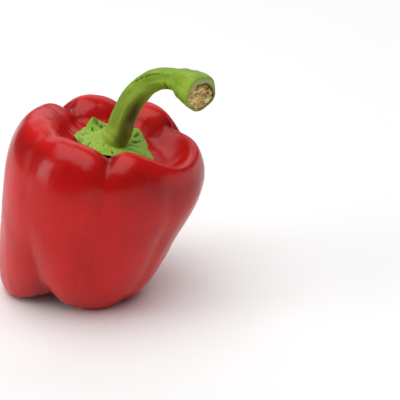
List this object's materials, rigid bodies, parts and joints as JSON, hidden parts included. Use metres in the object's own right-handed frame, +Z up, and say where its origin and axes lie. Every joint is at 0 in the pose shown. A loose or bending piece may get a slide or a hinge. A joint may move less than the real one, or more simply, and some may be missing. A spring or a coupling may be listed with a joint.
{
  "type": "bell pepper",
  "caption": "Whole sweet pepper as picked: a lobed glossy fruit, its green calyx in the crown's hollow, and a crooked stem with a cut end.",
  "frame": {"origin": "on the surface the pepper stands on, under the middle of the whole pepper's box, stem included", "axes": "+Z up, the longest extent; the crown and the crooked stem lean towards +X, and the stem's cut face looks towards -Y and +X"},
  "size_m": [0.0942, 0.079, 0.1074],
  "materials": {
    "red_skin": "smooth glossy waxy skin, deep red with faint paler streaks down the lobes",
    "calyx_green": "wrinkled satin leaf tissue, bright yellow green",
    "stem_green": "satin ribbed stalk, mid green with darker streaks, and a fibrous tan cut end"
  },
  "bodies": {
    "root": {"fruit": "red_skin", "calyx": "calyx_green", "stem": "stem_green"}
  },
  "joints": []
}
